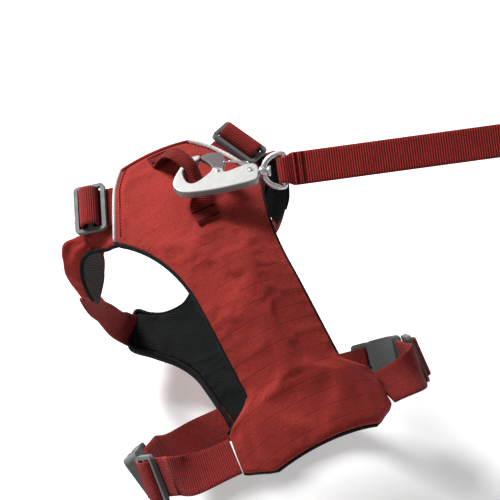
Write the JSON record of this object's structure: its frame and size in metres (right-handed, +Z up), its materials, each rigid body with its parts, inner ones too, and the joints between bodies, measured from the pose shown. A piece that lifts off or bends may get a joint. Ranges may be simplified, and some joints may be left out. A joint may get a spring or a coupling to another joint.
{
  "type": "no pull harness",
  "caption": "Padded dog harness with a back panel, neck and girth straps with adjusters and buckles, a chest panel, and a snap hook with its leash.",
  "frame": {"origin": "on the lining over the spine, where the back panel rests on the dog's back", "axes": "+X to the dog's head, +Y to its left, +Z up"},
  "size_m": [0.2168, 0.3853, 0.2308],
  "materials": {
    "ripstop_red": "red ripstop with a fine raised grid",
    "webbing_red": "ribbed red webbing",
    "binding_black": "black woven binding",
    "piping_grey": "light grey reflective piping",
    "lining_dark": "dark grey mesh lining",
    "foam": "closed cell foam core",
    "thread_dark": "dark red stitching",
    "hardware_grey": "mid grey moulded plastic",
    "hook_silver": "pale brushed cast body",
    "gate_dark": "purple grey lever",
    "steel_bright": "polished steel"
  },
  "bodies": {
    "harness": {"armhole_binding_left": "binding_black", "armhole_binding_right": "binding_black", "back_leash_loop": "webbing_red", "back_panel_foam": "foam", "back_panel_lining": "lining_dark", "back_panel_shell": "ripstop_red", "belly_strap_left": "webbing_red", "belly_strap_right": "webbing_red", "buckle_socket_left": "hardware_grey", "buckle_socket_right": "hardware_grey", "chest_panel_binding": "binding_black", "chest_panel_foam": "foam", "chest_panel_lining": "lining_dark", "chest_panel_shell": "ripstop_red", "chest_strap_left": "webbing_red", "chest_strap_right": "webbing_red", "front_leash_loop": "webbing_red", "girth_webbing_left": "webbing_red", "girth_webbing_right": "webbing_red", "loop_bar_tacks": "thread_dark", "neck_webbing_left": "webbing_red", "neck_webbing_right": "webbing_red", "neckline_binding": "binding_black", "reflective_piping_left": "piping_grey", "reflective_piping_right": "piping_grey", "shoulder_lining_left": "lining_dark", "shoulder_lining_right": "lining_dark", "shoulder_pad_left": "ripstop_red", "shoulder_pad_right": "ripstop_red"},
    "neck_adjuster_left": {"neck_adjuster_left": "hardware_grey", "neck_adjuster_fold_left": "webbing_red"},
    "neck_adjuster_right": {"neck_adjuster_right": "hardware_grey", "neck_adjuster_fold_right": "webbing_red"},
    "girth_adjuster_left": {"girth_adjuster_left": "hardware_grey", "girth_adjuster_fold_left": "webbing_red"},
    "girth_adjuster_right": {"girth_adjuster_right": "hardware_grey", "girth_adjuster_fold_right": "webbing_red"},
    "buckle_plug_left": {"buckle_plug_left": "hardware_grey", "buckle_prongs_left": "hardware_grey"},
    "buckle_plug_right": {"buckle_plug_right": "hardware_grey", "buckle_prongs_right": "hardware_grey"},
    "front_ring": {"front_leash_ring": "steel_bright"},
    "snap_hook": {"hook_body": "hook_silver", "gate_pin": "steel_bright", "gate_spring": "steel_bright", "swivel_rivet": "steel_bright"},
    "hook_gate": {"hook_gate": "gate_dark"},
    "leash": {"leash_ring": "steel_bright", "leash_fold": "webbing_red", "leash_webbing": "webbing_red", "leash_hand_loop": "webbing_red"}
  },
  "joints": [
    {"name": "neck_adjuster_left_slide", "type": "slide", "parent": "harness", "child": "neck_adjuster_left", "axis": [0.4695, 0.8191, -0.3296], "range_m": [-0.0015, 0.0015]},
    {"name": "girth_adjuster_left_slide", "type": "slide", "parent": "harness", "child": "girth_adjuster_left", "axis": [0.6249, 0.162, -0.7637], "range_m": [-0.006, 0.006]},
    {"name": "buckle_left_release", "type": "slide", "parent": "harness", "child": "buckle_plug_left", "axis": [0.5563, -0.5041, -0.6606], "range_m": [0, 0.018], "deforming": ["buckle_prongs_left"]},
    {"name": "neck_adjuster_right_slide", "type": "slide", "parent": "harness", "child": "neck_adjuster_right", "axis": [0.4695, -0.8191, -0.3296], "range_m": [-0.0015, 0.0015]},
    {"name": "girth_adjuster_right_slide", "type": "slide", "parent": "harness", "child": "girth_adjuster_right", "axis": [0.6249, -0.162, -0.7637], "range_m": [-0.006, 0.006]},
    {"name": "buckle_right_release", "type": "slide", "parent": "harness", "child": "buckle_plug_right", "axis": [0.5563, 0.5041, -0.6606], "range_m": [0, 0.018], "deforming": ["buckle_prongs_right"]},
    {"name": "front_ring_swing", "type": "hinge", "parent": "harness", "child": "front_ring", "pos_m": [0.05, 0, -0.151], "axis": [0, 1, 0], "range_deg": [-60, 60]},
    {"name": "hook_turn", "type": "hinge", "parent": "harness", "child": "snap_hook", "pos_m": [0.04053, -0.00593, 0.01797], "axis": [0, 0, 1], "range_deg": [-6, 6]},
    {"name": "gate_open", "type": "hinge", "parent": "snap_hook", "child": "hook_gate", "pos_m": [0.03565, -0.0169, 0.01825], "axis": [-0.1203, 0.0281, -0.9923], "range_deg": [0, 28], "stiffness_Nm_per_rad": 0.02, "springref_deg": -17.19},
    {"name": "leash_swivel", "type": "hinge", "parent": "snap_hook", "child": "leash", "pos_m": [0.04233, -0.00348, 0.01782], "axis": [-0.4511, -0.892, 0.0294], "continuous": true}
  ]
}
